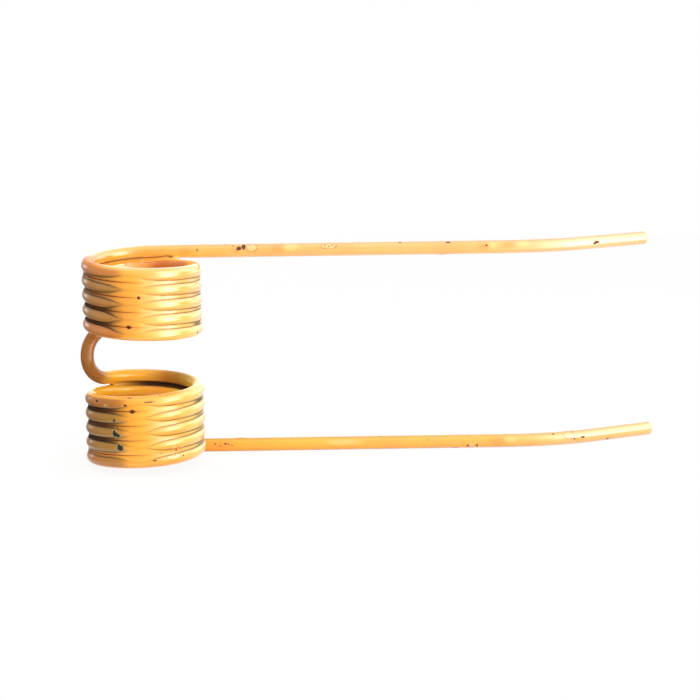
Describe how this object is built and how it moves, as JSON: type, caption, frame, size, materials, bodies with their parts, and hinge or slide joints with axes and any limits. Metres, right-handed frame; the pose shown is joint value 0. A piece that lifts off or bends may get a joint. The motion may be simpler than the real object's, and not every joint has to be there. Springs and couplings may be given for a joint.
{
  "type": "baler pick-up tine",
  "caption": "Double spring tine of round wire: a pair of coils joined by a bent bridge, with long parallel arms whose tips lean back.",
  "frame": {"origin": "on the axis that both coils share, halfway between the coils", "axes": "+Z along the coil axis, +X out along the straight arms, +Y from the coil axis to the side where the arms leave, which is also where the tips lean"},
  "size_m": [0.2455, 0.0715, 0.0898],
  "materials": {
    "painted_wire": "gloss yellow paint over spring steel, with small chips and pinholes"
  },
  "bodies": {
    "root": {"double_tine": "painted_wire"}
  },
  "joints": []
}
